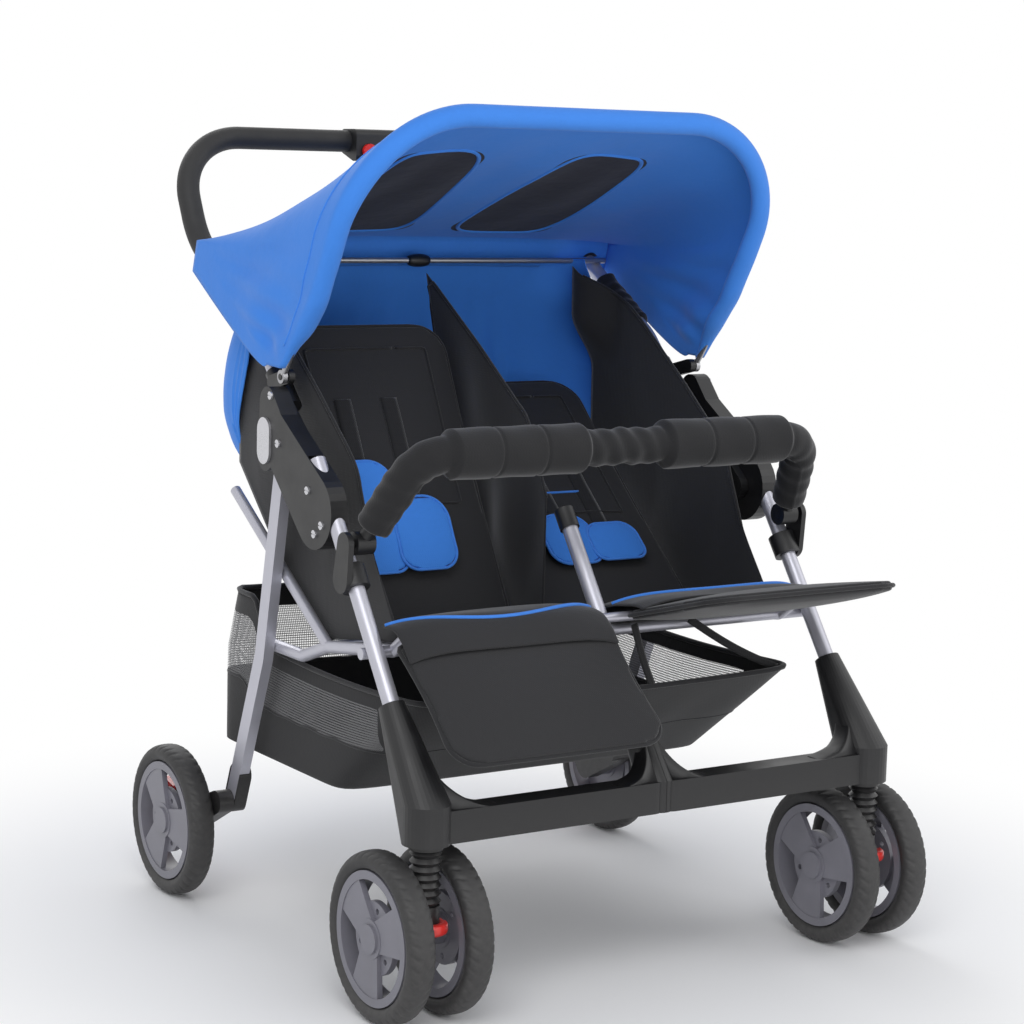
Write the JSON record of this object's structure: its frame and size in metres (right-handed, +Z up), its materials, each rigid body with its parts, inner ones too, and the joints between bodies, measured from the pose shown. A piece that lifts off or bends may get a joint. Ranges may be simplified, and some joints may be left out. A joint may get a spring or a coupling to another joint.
{
  "type": "twin pram",
  "caption": "Side-by-side twin pram with folding tube frame, reclining padded seats, one folding hood, bumper bar, basket, swivel casters and braked rear wheels.",
  "frame": {"origin": "on the floor, in the middle of the part's length and width", "axes": "+Z is up, the pram faces -Y, and the child's right side is at -X"},
  "size_m": [0.759, 0.819, 1.0415],
  "materials": {
    "frame_tube": "satin lacquered tube",
    "wire_steel": "bent steel wire",
    "trim_silver": "satin silver trim",
    "black_plastic": "fine-grained black moulding",
    "red_plastic": "red moulding",
    "grip_foam": "closed-cell foam",
    "tyre_rubber": "moulded foam tyre",
    "rim_plastic": "silver-grey moulding",
    "seat_cloth": "quilted black cloth",
    "basket_cloth": "black cloth with mesh panels",
    "hood_cloth": "royal blue cloth",
    "harness_cloth": "blue padded cloth"
  },
  "bodies": {
    "chassis": {"front_leg_right": "frame_tube", "front_leg_left": "frame_tube", "front_leg_center": "frame_tube", "center_leg_cap": "black_plastic", "footrest_right": "black_plastic", "footrest_left": "black_plastic", "side_plate_right": "black_plastic", "side_plate_left": "black_plastic", "oval_caps": "trim_silver", "frame_screws": "trim_silver", "seat_frame": "frame_tube", "basket": "basket_cloth", "basket_stay": "wire_steel", "seat_pad_right": "seat_cloth", "seat_pad_left": "seat_cloth", "side_wing_right": "seat_cloth", "side_wing_left": "seat_cloth", "center_wing": "seat_cloth", "bumper_brackets": "black_plastic"},
    "handle_frame": {"handle_tube": "frame_tube", "handle_grips": "grip_foam", "latch_housing": "black_plastic", "hinge_arms": "black_plastic", "tube_sleeves": "seat_cloth", "canopy_rod": "wire_steel", "canopy_sheet": "hood_cloth", "rear_curtain": "hood_cloth"},
    "fold_button": {"fold_button": "red_plastic"},
    "canopy_front": {"canopy_bow": "wire_steel"},
    "rear_frame": {"rear_leg_right": "frame_tube", "rear_leg_left": "frame_tube", "rear_bracket_right": "black_plastic", "rear_bracket_left": "black_plastic"},
    "bumper": {"bumper_bar": "black_plastic", "bumper_foam": "grip_foam"},
    "rear_wheel_right": {"rear_tyre_right": "tyre_rubber", "rear_rim_right": "rim_plastic"},
    "brake_right": {"brake_pedal_right": "red_plastic"},
    "caster_right": {"caster_post_right": "black_plastic", "caster_bellows_right": "black_plastic"},
    "fork_right": {"caster_fork_right": "black_plastic"},
    "lock_right": {"swivel_lock_right": "red_plastic"},
    "front_wheels_right": {"front_tyres_right": "tyre_rubber", "front_rims_right": "rim_plastic"},
    "backrest_right": {"backrest_right": "seat_cloth", "harness_right": "harness_cloth"},
    "leg_rest_right": {"leg_rest_right": "seat_cloth"},
    "rear_wheel_left": {"rear_tyre_left": "tyre_rubber", "rear_rim_left": "rim_plastic"},
    "brake_left": {"brake_pedal_left": "red_plastic"},
    "caster_left": {"caster_post_left": "black_plastic", "caster_bellows_left": "black_plastic"},
    "fork_left": {"caster_fork_left": "black_plastic"},
    "lock_left": {"swivel_lock_left": "red_plastic"},
    "front_wheels_left": {"front_tyres_left": "tyre_rubber", "front_rims_left": "rim_plastic"},
    "backrest_left": {"backrest_left": "seat_cloth", "harness_left": "harness_cloth"},
    "leg_rest_left": {"leg_rest_left": "seat_cloth"}
  },
  "joints": [
    {"name": "frame_fold", "type": "hinge", "parent": "chassis", "child": "handle_frame", "pos_m": [0, -0.07346, 0.557], "axis": [1, 0, 0], "range_deg": [0, 75], "deforming": ["rear_curtain"]},
    {"name": "rear_leg_fold", "type": "hinge", "parent": "chassis", "child": "rear_frame", "pos_m": [0, 0.05254, 0.629], "axis": [1, 0, 0], "range_deg": [-35, 0]},
    {"name": "canopy_fold", "type": "hinge", "parent": "handle_frame", "child": "canopy_front", "pos_m": [0, 0.04354, 0.708], "axis": [1, 0, 0], "range_deg": [-55, 0], "deforming": ["canopy_sheet"]},
    {"name": "button_press", "type": "slide", "parent": "handle_frame", "child": "fold_button", "axis": [0, 1, 0], "range_m": [0, 0.004], "stiffness_N_per_m": 900, "springref_m": -0.003},
    {"name": "bumper_swing", "type": "hinge", "parent": "chassis", "child": "bumper", "pos_m": [0, -0.16095, 0.53033], "axis": [1, 0, 0], "range_deg": [0, 50]},
    {"name": "caster_swivel_right", "type": "hinge", "parent": "chassis", "child": "caster_right", "pos_m": [-0.323, -0.33146, 0.212], "axis": [0, 0, 1], "continuous": true},
    {"name": "caster_spring_right", "type": "slide", "parent": "caster_right", "child": "fork_right", "axis": [0, 0, 1], "range_m": [0, 0.01], "stiffness_N_per_m": 8000, "springref_m": -0.012, "deforming": ["caster_bellows_right"]},
    {"name": "swivel_lock_turn_right", "type": "hinge", "parent": "fork_right", "child": "lock_right", "pos_m": [-0.323, -0.33146, 0.116], "axis": [1, 0, 0], "range_deg": [0, 12]},
    {"name": "front_wheel_spin_right", "type": "hinge", "parent": "fork_right", "child": "front_wheels_right", "pos_m": [-0.323, -0.30146, 0.1], "axis": [1, 0, 0], "continuous": true},
    {"name": "rear_wheel_spin_right", "type": "hinge", "parent": "rear_frame", "child": "rear_wheel_right", "pos_m": [-0.352, 0.27454, 0.1], "axis": [1, 0, 0], "continuous": true},
    {"name": "brake_press_right", "type": "hinge", "parent": "rear_frame", "child": "brake_right", "pos_m": [-0.305, 0.30454, 0.122], "axis": [1, 0, 0], "range_deg": [-18, 0]},
    {"name": "backrest_recline_right", "type": "hinge", "parent": "chassis", "child": "backrest_right", "pos_m": [-0.146, -0.03446, 0.382], "axis": [1, 0, 0], "range_deg": [-20.3, 0]},
    {"name": "leg_rest_tilt_right", "type": "hinge", "parent": "chassis", "child": "leg_rest_right", "pos_m": [-0.146, -0.22446, 0.428], "axis": [1, 0, 0], "range_deg": [-55, 0]},
    {"name": "caster_swivel_left", "type": "hinge", "parent": "chassis", "child": "caster_left", "pos_m": [0.323, -0.33146, 0.212], "axis": [0, 0, 1], "continuous": true},
    {"name": "caster_spring_left", "type": "slide", "parent": "caster_left", "child": "fork_left", "axis": [0, 0, 1], "range_m": [0, 0.01], "stiffness_N_per_m": 8000, "springref_m": -0.012, "deforming": ["caster_bellows_left"]},
    {"name": "swivel_lock_turn_left", "type": "hinge", "parent": "fork_left", "child": "lock_left", "pos_m": [0.323, -0.33146, 0.116], "axis": [1, 0, 0], "range_deg": [0, 12]},
    {"name": "front_wheel_spin_left", "type": "hinge", "parent": "fork_left", "child": "front_wheels_left", "pos_m": [0.323, -0.30146, 0.1], "axis": [1, 0, 0], "continuous": true},
    {"name": "rear_wheel_spin_left", "type": "hinge", "parent": "rear_frame", "child": "rear_wheel_left", "pos_m": [0.352, 0.27454, 0.1], "axis": [1, 0, 0], "continuous": true},
    {"name": "brake_press_left", "type": "hinge", "parent": "rear_frame", "child": "brake_left", "pos_m": [0.305, 0.30454, 0.122], "axis": [1, 0, 0], "range_deg": [-18, 0]},
    {"name": "backrest_recline_left", "type": "hinge", "parent": "chassis", "child": "backrest_left", "pos_m": [0.146, -0.03446, 0.382], "axis": [1, 0, 0], "range_deg": [0, 20.3]},
    {"name": "leg_rest_tilt_left", "type": "hinge", "parent": "chassis", "child": "leg_rest_left", "pos_m": [0.146, -0.22446, 0.428], "axis": [1, 0, 0], "range_deg": [0, 55]}
  ],
  "couplings": [
    {"joint": "rear_leg_fold", "follows": "frame_fold", "ratio": -0.46667}
  ]
}
